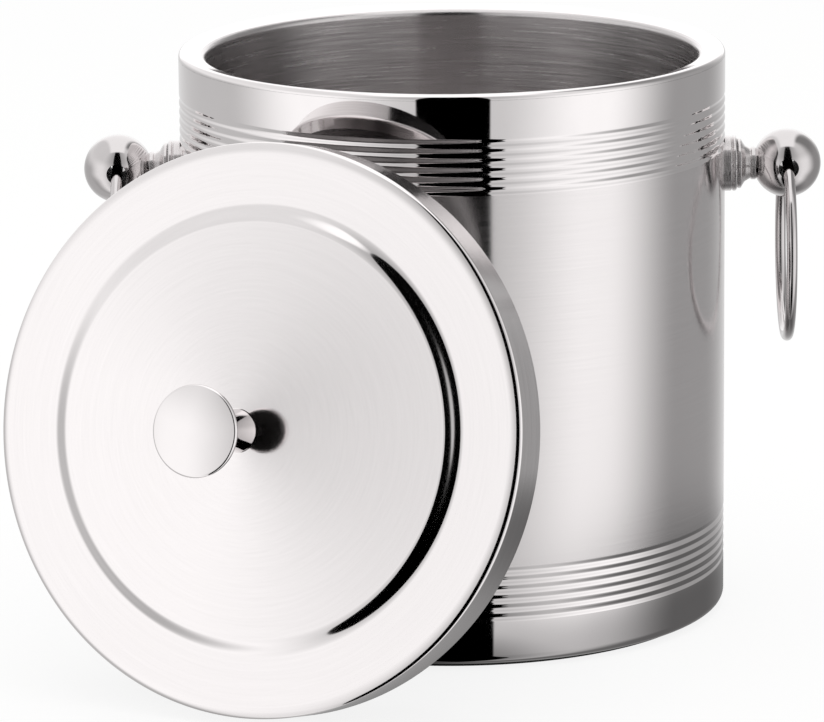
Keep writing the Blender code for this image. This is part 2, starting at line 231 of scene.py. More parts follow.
def profile_mesh(name: str, corners: list[Corner]) -> Mesh:
    """Draw an outline as polylines in the XZ plane, one for each run of one finish.

    Args:
        name: Name of the mesh.
        corners: The outline.

    Returns:
        A mesh of edges whose points carry the number of their finish.
    """
    verts: list[tuple[float, float, float]] = []
    edges: list[tuple[int, int]] = []
    finishes: list[int] = []
    before = None
    points = softened(corners)
    for (start, _), (end, finish) in zip(points, points[1:]):
        if finish is not before:
            verts.append((start.x * MM, 0.0, start.y * MM))
            finishes.append(finish.value)
            before = finish
        verts.append((end.x * MM, 0.0, end.y * MM))
        finishes.append(finish.value)
        edges.append((len(verts) - 2, len(verts) - 1))
    mesh = bpy.data.meshes.new(name)
    mesh.from_pydata(verts, edges, [])
    attribute = mesh.attributes.new(FINISH_ATTRIBUTE, "INT", "POINT")
    attribute.data.foreach_set("value", finishes)
    return mesh


def new_tree(name: str, inputs: dict[str, str]) -> tuple[Tree, Node]:
    """Start a Geometry Nodes tree with named inputs and one geometry output.

    Args:
        name: Name of the tree.
        inputs: Name of each input to the last word of its socket type.

    Returns:
        The tree and its group input node.
    """
    tree = bpy.data.node_groups.new(name, "GeometryNodeTree")
    tree.interface.new_socket("Geometry", in_out="OUTPUT", socket_type="NodeSocketGeometry")
    for label, kind in inputs.items():
        tree.interface.new_socket(label, in_out="INPUT", socket_type=f"NodeSocket{kind}")
    return tree, add_node(tree, "NodeGroupInput")


def spin(tree: Tree, curves: Node, given: Node) -> None:
    """End a tree by turning its profile curves about Z and giving each stretch its material.

    The profile is swept along a circle of one metre, so that metre is taken off its radius first.

    Args:
        tree: The tree to end.
        curves: Node whose first output is the profile, with radius in X and height in Z.
        given: The tree's group input node.
    """
    apart = add_node(tree, "ShaderNodeSeparateXYZ", {0: add_node(tree, "GeometryNodeInputPosition")})
    inward = add_node(tree, "ShaderNodeMath", {0: apart.outputs["X"], 1: 1.0}, operation="SUBTRACT")
    upward = add_node(tree, "ShaderNodeMath", {0: apart.outputs["Z"], 1: -1.0}, operation="MULTIPLY")
    across = add_node(tree, "ShaderNodeCombineXYZ", {"X": inward, "Y": upward})
    section = add_node(tree, "GeometryNodeSetPosition", {"Geometry": curves, "Position": across})
    path = add_node(
        tree, "GeometryNodeCurvePrimitiveCircle", {"Resolution": given.outputs["Steps"], "Radius": 1.0},
    )
    swept = add_node(tree, "GeometryNodeCurveToMesh", {
        "Curve": path.outputs["Curve"], "Profile Curve": section,
    })
    solid = add_node(tree, "GeometryNodeRealizeInstances", {"Geometry": swept})
    number = add_node(
        tree, "GeometryNodeInputNamedAttribute", {"Name": FINISH_ATTRIBUTE}, data_type="INT",
    )
    for stretch in Stretch:
        here = add_node(
            tree, "FunctionNodeCompare", {2: number, 3: stretch.value}, data_type="INT", operation="EQUAL",
        )
        solid = add_node(tree, "GeometryNodeSetMaterial", {
            "Geometry": solid, "Selection": here, "Material": given.outputs[stretch.name],
        })
    add_node(tree, "NodeGroupOutput", {0: solid})


def turned_tree() -> Tree:
    """The tree of a plain turned piece."""
    kinds = {"Profile": "Geometry", "Steps": "Int", **{stretch.name: "Material" for stretch in Stretch}}
    tree, given = new_tree("turned_piece", kinds)
    spin(tree, add_node(tree, "GeometryNodeMeshToCurve", {0: given.outputs["Profile"]}), given)
    return tree


def ribbed_tree() -> Tree:
    """The tree of a turned sleeve that adds two bands of rolled grooves to its plain stretches."""
    tree, given = new_tree("ribbed_sleeve", {
        "Profile": "Geometry",
        "Steps": "Int",
        "Wall radius": "Float",
        "Rib pitch": "Float",
        "Rib depth": "Float",
        "Points per rib": "Int",
        "Rib count": "Int",
        "Upper band": "Float",
        "Lower band": "Float",
        **{stretch.name: "Material" for stretch in Stretch},
    })
    points = add_node(tree, "ShaderNodeMath", {
        0: given.outputs["Rib count"], 1: given.outputs["Points per rib"], 2: 1.0,
    }, operation="MULTIPLY_ADD")
    spacing = add_node(tree, "ShaderNodeMath", {
        0: given.outputs["Rib pitch"], 1: given.outputs["Points per rib"],
    }, operation="DIVIDE")
    down = add_node(tree, "ShaderNodeMath", {0: spacing, 1: -1.0}, operation="MULTIPLY")
    half = add_node(tree, "ShaderNodeMath", {0: given.outputs["Rib depth"], 1: 0.5}, operation="MULTIPLY")
    joined = add_node(tree, "GeometryNodeJoinGeometry", {0: given.outputs["Profile"]})
    for band in ("Upper band", "Lower band"):
        line = add_node(tree, "GeometryNodeMeshLine", {
            "Count": points,
            "Start Location": add_node(tree, "ShaderNodeCombineXYZ", {
                "X": given.outputs["Wall radius"], "Z": given.outputs[band],
            }),
            "Offset": add_node(tree, "ShaderNodeCombineXYZ", {"Z": down}),
        })
        apart = add_node(tree, "ShaderNodeSeparateXYZ", {0: add_node(tree, "GeometryNodeInputPosition")})
        dip = apart.outputs["Z"]
        for operation, other in (
            ("SUBTRACT", given.outputs[band]), ("DIVIDE", given.outputs["Rib pitch"]),
            ("MULTIPLY", math.tau), ("COSINE", 0.0), ("SUBTRACT", 1.0), ("MULTIPLY", half),
        ):
            dip = add_node(tree, "ShaderNodeMath", {0: dip, 1: other}, operation=operation)
        ribs = add_node(tree, "GeometryNodeSetPosition", {
            "Geometry": line, "Offset": add_node(tree, "ShaderNodeCombineXYZ", {"X": dip}),
        })
        tree.links.new(ribs.outputs[0], joined.inputs[0])
    spin(tree, add_node(tree, "GeometryNodeMeshToCurve", {0: joined}), given)
    return tree


def ring_tree() -> Tree:
    """The tree of a round wire ring about Z."""
    tree, given = new_tree("wire_ring", {
        "Ring radius": "Float",
        "Wire radius": "Float",
        "Ring steps": "Int",
        "Wire steps": "Int",
        "Metal": "Material",
    })
    path = add_node(tree, "GeometryNodeCurvePrimitiveCircle", {
        "Resolution": given.outputs["Ring steps"], "Radius": given.outputs["Ring radius"],
    })
    wire = add_node(tree, "GeometryNodeCurvePrimitiveCircle", {
        "Resolution": given.outputs["Wire steps"], "Radius": given.outputs["Wire radius"],
    })
    swept = add_node(tree, "GeometryNodeCurveToMesh", {
        "Curve": path.outputs["Curve"], "Profile Curve": wire.outputs["Curve"],
    })
    solid = add_node(tree, "GeometryNodeRealizeInstances", {"Geometry": swept})
    dressed = add_node(tree, "GeometryNodeSetMaterial", {
        "Geometry": solid, "Material": given.outputs["Metal"],
    })
    add_node(tree, "NodeGroupOutput", {0: dressed})
    return tree


def run_tree(tree: Tree, base: Mesh, values: dict[str, object], placement: Matrix) -> Mesh:
    """Run a tree on a carrier object and return its result as a plain, closed, placed mesh.

    Args:
        tree: The Geometry Nodes tree.
        base: Mesh that goes into the tree's first geometry input.
        values: Name of each other input to its value.
        placement: Where the result goes in the frame.

    Returns:
        A mesh with merged seams and outward faces.
    """
    carrier = bpy.data.objects.new(tree.name, base)
    modifier = carrier.modifiers.new(tree.name, "NODES")
    modifier.node_group = tree
    for item in tree.interface.items_tree:
        if item.name in values:
            modifier[item.identifier] = values[item.name]
    bpy.context.scene.collection.objects.link(carrier)
    mesh = bpy.data.meshes.new_from_object(carrier.evaluated_get(bpy.context.evaluated_depsgraph_get()))
    carrier.modifiers.remove(modifier)
    bpy.data.objects.remove(carrier)
    return tidied(mesh, placement)


def tidied(mesh: Mesh, placement: Matrix = Matrix.Identity(4)) -> Mesh:
    """Merge a mesh's seams, turn its faces outward, place it and shade it.

    Args:
        mesh: The mesh, which is changed.
        placement: Where it goes in the frame.

    Returns:
        The same mesh.
    """
    work = bmesh.new()
    work.from_mesh(mesh)
    bmesh.ops.remove_doubles(work, verts=work.verts, dist=MERGE_DISTANCE)
    bmesh.ops.recalc_face_normals(work, faces=work.faces)
    work.transform(placement)
    work.to_mesh(mesh)
    work.free()
    if FINISH_ATTRIBUTE in mesh.attributes:
        mesh.attributes.remove(mesh.attributes[FINISH_ATTRIBUTE])
    mesh.shade_smooth()
    mesh.set_sharp_from_angle(angle=SHARP_ANGLE)
    return mesh


def cut(target: Mesh, cutter: Mesh) -> Mesh:
    """Take one closed mesh out of another.

    Args:
        target: The mesh that is cut.
        cutter: The mesh that is taken out, whose finish the cut faces take.

    Returns:
        A new mesh.
    """
    things = [show(mesh.name, mesh) for mesh in (target, cutter)]
    modifier = things[0].modifiers.new("cut", "BOOLEAN")
    modifier.operation = "DIFFERENCE"
    modifier.solver = "EXACT"
    modifier.material_mode = "TRANSFER"
    modifier.object = things[1]
    mesh = bpy.data.meshes.new_from_object(things[0].evaluated_get(bpy.context.evaluated_depsgraph_get()))
    for thing in things:
        bpy.data.objects.remove(thing)
    return tidied(mesh)


def mount(name: str, mesh: Mesh, body: str, slot: str, *nodes: str) -> bpy.types.Object:
    """Show a finished mesh as a piece that rides on a body and stands for its CAD nodes.

    Args:
        name: Name of the piece.
        mesh: Its mesh, already in place.
        body: The body it moves with.
        slot: The record's material slot; not used.
        *nodes: CAD nodes that it stands for.

    Returns:
        The piece.
    """
    mesh.name = name
    piece = show(name, mesh)
    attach(piece, body)
    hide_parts(*nodes)
    LOG.info("%s on %s: %d faces", name, body, len(mesh.polygons))
    return piece


@dataclass(frozen=True)
class Lathe:
    """The axis that a brushed finish runs round, in metres."""

    centre: tuple[float, float, float] = (0.0, 0.0, 0.0)
    axis: tuple[float, float, float] = (0.0, 0.0, 1.0)


class Coat:
    """A finish in the making: its material, its tree and the place on the piece that its nodes read."""

    def __init__(self, name: str, metallic: float = 1.0) -> None:
        """Start a material.

        Args:
            name: Name of the finish.
            metallic: One for bare metal, nothing for rubber.
        """
        self.material = bpy.data.materials.new(name)
        self.material.use_nodes = True
        self.tree = self.material.node_tree
        self.shader = self.tree.nodes["Principled BSDF"]
        self.shader.inputs["Metallic"].default_value = metallic
        self.place = add_node(self.tree, "ShaderNodeTexCoord").outputs["Object"]

    def done(
        self, colours: tuple[str, str], shade: Node, rough: Node, height: Node | None = None,
        depth_mm: float = 0.0,
    ) -> Material:
        """Link the colour, the roughness and any relief into the shader.

        Args:
            colours: sRGB hex where the pattern is low and where it is high.
            shade: Pattern that mixes the colours.
            rough: Node that gives the roughness.
            height: Pattern of the relief.
            depth_mm: Depth of the relief.

        Returns:
            The finished material.
        """
        low, high = colours
        tint = add_node(self.tree, "ShaderNodeMix", {
            "Factor": shade, 6: linear(low), 7: linear(high),
        }, data_type="RGBA")
        results = {"Base Color": tint.outputs["Result"], "Roughness": rough.outputs[0]}
        if height is not None:
            relief = add_node(self.tree, "ShaderNodeBump", {
                "Height": height, "Strength": 1.0, "Distance": depth_mm * MM,
            })
            results["Normal"] = relief.outputs[0]
        for name, socket in results.items():
            self.tree.links.new(socket, self.shader.inputs[name])
        return self.material


@dataclass(frozen=True)
class PolishedSteel:
    """Mirror-polished stainless steel, buffed with rouge.

    The eye sees the room in it, almost undimmed, with a faint haze where it was wiped and a slow
    waviness that bends straight reflections a little.
    """

    name: str = "mirror_polished_stainless_steel"
    colour: str = "#EFEBEB"
    deep: str = "#E8E4E4"
    roughness: float = 0.03
    haze: float = 0.035
    wipe_mm: float = 17.0
    wave_mm: float = 11.0
    wave_depth_mm: float = 0.0016
    haze_start: float = 0.45
    haze_full: float = 0.75

    def material(self) -> Material:
        """Build the material and return it."""
        coat = Coat(self.name)
        wipe = add_node(coat.tree, "ShaderNodeTexNoise", {
            "Vector": coat.place, "Scale": 1 / (self.wipe_mm * MM), "Detail": 5.0, "Roughness": 0.6,
        })
        rough = add_node(coat.tree, "ShaderNodeMapRange", {
            "Value": wipe, 1: self.haze_start, 2: self.haze_full,
            3: self.roughness, 4: self.roughness + self.haze,
        }, interpolation_type="SMOOTHSTEP")
        wave = add_node(coat.tree, "ShaderNodeTexNoise", {
            "Vector": coat.place, "Scale": 1 / (self.wave_mm * MM), "Detail": 1.0,
        })
        return coat.done((self.colour, self.deep), wipe, rough, wave, self.wave_depth_mm)


@dataclass(frozen=True)
class BrushedSteel:
    """Stainless steel brushed on a lathe, so that every fine scratch runs round its axis.

    The scratches spread a reflection across them and keep it sharp along them, which draws long
    soft streaks up a wall and a fan of light and dark on a disc. Real scratches are under a tenth
    of a millimetre apart, too fine to show here, so they are drawn coarser.
    """

    name: str
    colour: str
    deep: str
    roughness: float
    spread: float
    anisotropy: float
    scratch_mm: float
    scratch_depth_mm: float
    lathe: Lathe = Lathe()
    turns: float = 3.0
    faint: float = 0.3
    strong: float = 0.7
    # A quarter turn: light spreads across the scratches, and the tangent runs along them.
    across: float = 0.25

    def material(self) -> Material:
        """Build the material and return it."""
        coat = Coat(self.name)
        tree = coat.tree
        axis = self.lathe.axis
        arm = add_node(tree, "ShaderNodeVectorMath", {
            0: coat.place, 1: self.lathe.centre,
        }, operation="SUBTRACT")
        height = add_node(tree, "ShaderNodeVectorMath", {0: arm, 1: axis}, operation="DOT_PRODUCT")
        around = add_node(tree, "ShaderNodeVectorMath", {0: axis, 1: arm}, operation="CROSS_PRODUCT")
        radius = add_node(tree, "ShaderNodeVectorMath", {0: around}, operation="LENGTH")
        turn = add_node(tree, "ShaderNodeVectorMath", {0: around}, operation="NORMALIZE")
        sector = add_node(tree, "ShaderNodeVectorMath", {0: turn, "Scale": self.turns}, operation="SCALE")
        travel = add_node(tree, "ShaderNodeMath", {
            0: height.outputs["Value"], 1: radius.outputs["Value"],
        }, operation="ADD")
        count = add_node(tree, "ShaderNodeMath", {0: travel, 1: self.scratch_mm * MM}, operation="DIVIDE")
        scratch = add_node(tree, "ShaderNodeTexNoise", {
            "Vector": sector, "W": count, "Scale": 1.0, "Detail": 3.0, "Roughness": 0.65,
        }, noise_dimensions="4D")
        rough = add_node(tree, "ShaderNodeMapRange", {
            "Value": scratch, 1: self.faint, 2: self.strong,
            3: self.roughness - self.spread, 4: self.roughness + self.spread,
        })
        coat.shader.inputs["Anisotropic"].default_value = self.anisotropy
        coat.shader.inputs["Anisotropic Rotation"].default_value = self.across
        tree.links.new(turn.outputs[0], coat.shader.inputs["Tangent"])
        return coat.done((self.deep, self.colour), scratch, rough, scratch, self.scratch_depth_mm)


@dataclass(frozen=True)
class PaintedShadeSteel:
    """Near-black, dull steel as painted shade, for the cap's underside and the ball's drilled bore where
    shade falls, with a torn grain.
    """

    name: str = "painted_shade_black_steel"
    colour: str = "#2A2928"
    deep: str = "#171616"
    roughness: float = 0.55
    spread: float = 0.1
    grain_mm: float = 0.5
    grain_depth_mm: float = 0.01

    def material(self) -> Material:
        """Build the material and return it."""
        coat = Coat(self.name)
        grain = add_node(coat.tree, "ShaderNodeTexNoise", {
            "Vector": coat.place, "Scale": 1 / (self.grain_mm * MM), "Detail": 3.0,
        })
        rough = add_node(coat.tree, "ShaderNodeMapRange", {
            "Value": grain, 3: self.roughness - self.spread, 4: self.roughness + self.spread,
        })
        return coat.done((self.colour, self.deep), grain, rough, grain, self.grain_depth_mm)


@dataclass(frozen=True)
class ZincPlate:
    """Bright zinc-plated steel: bluish grey, with the faint spangle of a thin plated layer."""

    name: str = "bright_zinc_plated_steel"
    colour: str = "#C4C7CA"
    deep: str = "#A3A8AE"
    roughness: float = 0.28
    spread: float = 0.08
    spangle_mm: float = 1.6

    def material(self) -> Material:
        """Build the material and return it."""
        coat = Coat(self.name)
        spangle = add_node(coat.tree, "ShaderNodeTexVoronoi", {
            "Vector": coat.place, "Scale": 1 / (self.spangle_mm * MM),
        })
        shade = add_node(coat.tree, "ShaderNodeSeparateColor", {0: spangle.outputs["Color"]})
        rough = add_node(coat.tree, "ShaderNodeMapRange", {
            "Value": shade.outputs[1], 3: self.roughness - self.spread, 4: self.roughness + self.spread,
        })
        return coat.done((self.colour, self.deep), shade, rough)


@dataclass(frozen=True)
class MouldedRubber:
    """Moulded black nitrile rubber: matt, with a fine eroded grain and greyer where it was handled."""

    name: str = "moulded_black_rubber"
    colour: str = "#191919"
    worn: str = "#262626"
    roughness: float = 0.62
    spread: float = 0.12
    grain_mm: float = 0.6
    grain_depth_mm: float = 0.03
    worn_mm: float = 22.0

    def material(self) -> Material:
        """Build the material and return it."""
        coat = Coat(self.name, metallic=0.0)
        worn = add_node(coat.tree, "ShaderNodeTexNoise", {
            "Vector": coat.place, "Scale": 1 / (self.worn_mm * MM), "Detail": 4.0,
        })
        grain = add_node(coat.tree, "ShaderNodeTexNoise", {
            "Vector": coat.place, "Scale": 1 / (self.grain_mm * MM), "Detail": 2.0,
        })
        rough = add_node(coat.tree, "ShaderNodeMapRange", {
            "Value": grain, 3: self.roughness - self.spread, 4: self.roughness + self.spread,
        })
        return coat.done((self.colour, self.worn), worn, rough, grain, self.grain_depth_mm)


@dataclass
class Workshop:
    """The trees and the shared materials that the sub-assemblies are made with."""

    turned: Tree
    ribbed: Tree
    ring: Tree
    polished: Material
    buffed: Material
    turned_satin: Material
    # Near-black painted shade for the ball's bore and the cap's underside.
    painted_shade_black: Material
    zinc: Material

    def turn(
        self, corners: list[Corner], finishes: list[Material], steps: int,
        placement: Matrix = Matrix.Identity(4),
    ) -> Mesh:
        """Turn an outline about Z.

        Args:
            corners: The outline in millimetres.
            finishes: Materials of its first, second and third stretches.
            steps: Facets round the axis.
            placement: Where the piece goes in the frame.

        Returns:
            The finished mesh.
        """
        chosen = {stretch.name: finish for stretch, finish in zip(Stretch, finishes)}
        values = {"Steps": steps, **chosen}
        return run_tree(self.turned, profile_mesh("profile", corners), values, placement)

    def plate_hidden(self, *nodes: str) -> None:
        """Give CAD nodes that stay as they are, inside the walls, the zinc finish."""
        for node in nodes:
            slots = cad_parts[node].data.materials
            slots.clear()
            slots.append(self.zinc)
            LOG.info("%s keeps its CAD mesh", node)


@dataclass
class BucketBody:
    """The sleeve with its ribs, the liner with its rim, the base plate and the foot pad."""

    shop: Workshop
    radius: float = WALL_RADIUS
    height: float = 172.0
    sheet: float = 0.8
    rib_count: int = 6
    rib_pitch: float = 2.8
    rib_depth: float = 0.35
    points_per_rib: int = 14
    top_band: float = 12.9
    bottom_band: float = 14.4
    foot: float = 1.4
    base_corner: float = 2.8
    flange_radius: float = 72.0
    rim_round: float = 1.8
    rim_drop: float = 1.1
    rim_seam: float = 0.04
    liner_radius: float = 74.39
    liner_sheet: float = 0.9
    liner_corner: float = 10.0
    liner_floor: float = 10.55
    pad_radius: float = 77.7
    pad_boss_radius: float = 71.7
    pad_proud: float = 1.1
    pad_top: float = 2.55
    pad_boss_round: float = 0.3
    pad_edge_round: float = 0.25
    pad_foot_round: float = 0.45

    def satin(self) -> Material:
        """The sleeve's middle: satin stainless steel, brushed round the wall with fine grit."""
        return BrushedSteel(
            "satin_brushed_stainless_wall", "#EAE6E6", "#DEDADA", 0.16, 0.03, 0.97, 0.5, 0.0006,
        ).material()

    def lathe_brushed(self) -> Material:
        """The liner: stainless steel brushed coarsely on the lathe, left dull so that ice grips."""
        return BrushedSteel(
            "lathe_brushed_stainless_liner", "#F0ECEC", "#B4B0B0", 0.24, 0.05, 0.95, 0.6, 0.001,
        ).material()

    def build_sleeve(self) -> None:
        """The outer wall: polished bands and ribs round a satin middle, turned in at the foot."""
        wall = self.sheet + self.rib_depth
        top = self.height - self.rim_round
        upper = self.height - self.top_band
        band = self.rib_count * self.rib_pitch
        lower = self.bottom_band + band
        outside = self.radius
        inside = self.radius - wall
        plain = [
            [Corner(outside, top), Corner(outside, upper)],
            [Corner(outside, upper - band), Corner(outside, lower, 0.0, Stretch.SECOND)],
            [
                Corner(outside, lower - band),
                Corner(outside, self.foot, self.base_corner),
                Corner(self.flange_radius, self.foot),
                Corner(self.flange_radius, self.foot + wall),
                Corner(inside, self.foot + wall, self.base_corner - wall),
                Corner(inside, top),
                Corner(outside, top),
            ],
        ]
        profile = bmesh.new()
        for stretch in plain:
            profile.from_mesh(profile_mesh("profile", stretch))
        base = bpy.data.meshes.new("profile")
        profile.to_mesh(base)
        profile.free()
        mesh = run_tree(self.shop.ribbed, base, {
            "Steps": BODY_STEPS,
            "Wall radius": outside * MM,
            "Rib pitch": self.rib_pitch * MM,
            "Rib depth": self.rib_depth * MM,
            "Points per rib": self.points_per_rib,
            "Rib count": self.rib_count,
            "Upper band": upper * MM,
            "Lower band": lower * MM,
            Stretch.FIRST.name: self.shop.polished,
            Stretch.SECOND.name: self.satin(),
        }, Matrix.Identity(4))
        mount("sleeve", mesh, "bucket", "satin_steel", "outer_shell")

    def rim_heights(self, bend: float) -> tuple[float, float]:
        """Where the rim's sloping top would meet the inner and outer walls if its bends were sharp.

        Args:
            bend: Radius of both bends, smaller for the sheet's underside.

        Returns:
            The heights at the inner and the outer wall.
        """
        across = self.radius - self.liner_radius - 2 * self.rim_round
        slope = math.atan2(self.rim_drop, across)
        level = self.height - self.rim_round
        outer = level + bend * (1 / math.cos(slope) + math.tan(slope))
        inner = level - self.rim_drop + bend * (1 / math.cos(slope) - math.tan(slope))
        return inner, outer

    def build_liner(self) -> None:
        """The cup that holds the ice, with its polished rim turned out and down to the sleeve."""
        under = self.height - self.rim_round + self.rim_seam
        turned_in = self.radius - self.liner_sheet
        back = self.liner_radius + self.liner_sheet
        bottom = self.liner_floor - self.liner_sheet
        small_bend = self.rim_round - self.liner_sheet
        inner, outer = self.rim_heights(self.rim_round)
        inner_under, outer_under = self.rim_heights(small_bend)
        mesh = self.shop.turn([
            Corner(0.0, self.liner_floor),
            Corner(self.liner_radius, self.liner_floor, self.liner_corner),
            Corner(self.liner_radius, inner, self.rim_round),
            Corner(self.radius, outer, self.rim_round - self.rim_seam, Stretch.SECOND),
            Corner(self.radius, under, 0.0, Stretch.SECOND),
            Corner(turned_in, under, 0.0, Stretch.SECOND),
            Corner(turned_in, outer_under, small_bend - self.rim_seam, Stretch.SECOND),
            Corner(back, inner_under, small_bend, Stretch.SECOND),
            Corner(back, bottom, self.liner_corner + self.liner_sheet),
            Corner(0.0, bottom),
        ], [self.lathe_brushed(), self.shop.polished], BODY_STEPS)
        mount("liner", mesh, "bucket", "brushed_steel", "inner_liner")

    def build_foot(self) -> None:
        """The rubber pad under the base plate, which stays hidden between pad and liner."""
        mesh = self.shop.turn([
            Corner(0.0, self.pad_top),
            Corner(self.pad_boss_radius, self.pad_top, self.pad_boss_round),
            Corner(self.pad_boss_radius, self.pad_proud),
            Corner(self.pad_radius, self.pad_proud, self.pad_edge_round),
            Corner(self.pad_radius, 0.0, self.pad_foot_round),
            Corner(0.0, 0.0),
        ], [MouldedRubber().material()], BODY_STEPS)
        mount("foot", mesh, "bucket", "black_rubber", "foot_pad")
        self.shop.plate_hidden("base_plate")

    def build(self) -> None:
        """Build every piece of the bucket."""
        self.build_sleeve()
        self.build_liner()
        self.build_foot()


@dataclass
class Handle:
    """One handle: a grooved collar on the wall, a turned post with a drilled ball, and a wire ring.

    Heights along the fitting are measured outwards from the wall.
    """

    shop: Workshop
    side: Side
    wall_radius: float = WALL_RADIUS
    height: float = 135.5
    collar_radius: float = 8.35
    collar_length: float = 3.55
    collar_groove: float = 0.4
    collar_flange: float = 1.75
    collar_edge: float = 0.2
    collar_fillet: float = 0.12
    bore_radius: float = BORE_RADIUS
    seat_gap: float = 0.03
    seam: float = 0.25
    disc_radius: float = 7.6
    disc_end: float = 4.75
    disc_round: float = 0.35
    flare_out: float = 1.0
    flare_along: float = 1.2
    flare_round: float = 1.6
    post_round: float = 0.3
    neck_radius: float = 4.6
    neck_start: float = 7.65
    bead: float = 0.35
    ball_start: float = 9.65
    ball_radius: float = 10.3
    hole_radius: float = 2.97
    hole_round: float = 0.15
    lip_round: float = 0.4
    drill_flare: float = 1.2
    drill_over: float = 1.0
    ring_radius: float = 27.0
    wire_radius: float = 1.65
    ring_drop: float = 25.98

    @property
    def ball_centre(self) -> float:
        """Distance of the ball's centre from the wall."""
        return self.ball_start + math.sqrt(self.ball_radius ** 2 - self.neck_radius ** 2)

    def placement(self, along: float = 0.0) -> Matrix:
        """Place Z out of the wall and X downwards.

        Args:
            along: Millimetres out of the wall at which the origin goes.

        Returns:
            The matrix into the frame.
        """
        sign = self.side.value
        turn = Matrix(((0.0, 0.0, sign), (0.0, sign, 0.0), (-1.0, 0.0, 0.0))).to_4x4()
        spot = Vector((sign * (self.wall_radius + along), 0.0, self.height)) * MM
        return Matrix.Translation(spot) @ turn

    def build_collar(self, name: str) -> None:
        """The collar, its seat hollowed to sit on the curved wall."""
        groove = self.collar_radius - self.collar_groove
        middle = self.collar_flange + self.collar_groove
        mesh = self.shop.turn([
            Corner(self.bore_radius, self.collar_length),
            Corner(groove, self.collar_length, self.collar_fillet),
            Corner(self.collar_radius, self.collar_length - self.collar_groove, self.collar_edge),
            Corner(self.collar_radius, middle + self.collar_groove, self.collar_fillet),
            Corner(groove, middle, self.collar_fillet),
            Corner(self.collar_radius, self.collar_flange, self.collar_edge),
            Corner(self.collar_radius, -self.collar_length),
            Corner(self.bore_radius, -self.collar_length),
            Corner(self.bore_radius, self.collar_length),
        ], [self.shop.turned_satin], FITTING_STEPS)
        seat = (self.wall_radius + self.seat_gap) * MM
        for vertex in mesh.vertices:
            if vertex.co.z < 0:
                vertex.co.z = math.sqrt(seat ** 2 - vertex.co.y ** 2) - self.wall_radius * MM
        mesh.transform(self.placement())
        mount(f"collar_{name}", mesh, "bucket", "polished_steel", f"handle_collar_{name}")

    def build_post(self, name: str) -> None:
        """The post with its neck bead and the ball, cross-drilled for the ring."""
        foot = self.collar_length + self.seam
        middle = (self.neck_start + self.ball_start) / 2
        half = (self.ball_start - self.neck_start) / 4
        beaded = self.neck_radius + self.bead
        start = math.degrees(math.asin(self.neck_radius / self.ball_radius)) - 90
        solid = self.shop.turn([
            Corner(0.0, foot),
            Corner(self.disc_radius, foot, self.post_round),
            Corner(self.disc_radius, self.disc_end, self.disc_round),
            Corner(self.neck_radius + self.flare_out, self.disc_end + self.flare_along, self.flare_round),
            Corner(self.neck_radius, self.neck_start, self.post_round),
            Corner(beaded, middle - half, self.post_round),
            Corner(beaded, middle + half, self.post_round),
            *arc(0.0, self.ball_centre, self.ball_radius, start, 90, Stretch.SECOND),
        ], [self.shop.turned_satin, self.shop.buffed], FITTING_STEPS, self.placement())
        lip = math.sqrt(self.ball_radius ** 2 - self.hole_radius ** 2) - self.hole_round
        wide = self.hole_radius + self.hole_round + self.drill_flare
        end = self.ball_radius + self.drill_over
        # The bore's walls, cut by this drill, take the near-black painted shade of the hole.
        drill = self.shop.turn([
            Corner(0.0, end),
            Corner(wide, end),
            Corner(self.hole_radius, lip, self.lip_round),
            Corner(self.hole_radius, -lip, self.lip_round),
            Corner(wide, -end),
            Corner(0.0, -end),
        ], [self.shop.painted_shade_black], CUTTER_STEPS)
        drill.transform(self.placement(self.ball_centre) @ Matrix.Rotation(math.pi / 2, 4, "X"))
        mesh = cut(solid, drill)
        mount(f"post_{name}", mesh, "bucket", "polished_steel", f"handle_post_{name}")

    def build_ring(self, name: str) -> None:
        """The wire ring that hangs through the ball."""
        drop = Matrix.Translation(Vector((self.ring_drop, 0.0, 0.0)) * MM)
        mesh = run_tree(self.shop.ring, bpy.data.meshes.new("ring"), {
            "Ring radius": self.ring_radius * MM,
            "Wire radius": self.wire_radius * MM,
            "Ring steps": RING_STEPS,
            "Wire steps": WIRE_STEPS,
            "Metal": self.shop.buffed,
        }, self.placement(self.ball_centre) @ drop)
        mount(f"ring_{name}", mesh, f"{name}_ring", "polished_steel", f"handle_ring_{name}")

    def build(self) -> None:
        """Build every piece of the handle."""
        name = self.side.name.lower()
        self.build_collar(name)
        self.build_post(name)
        self.build_ring(name)
        self.shop.plate_hidden(f"handle_plate_{name}", f"handle_washer_{name}", f"handle_screw_{name}")


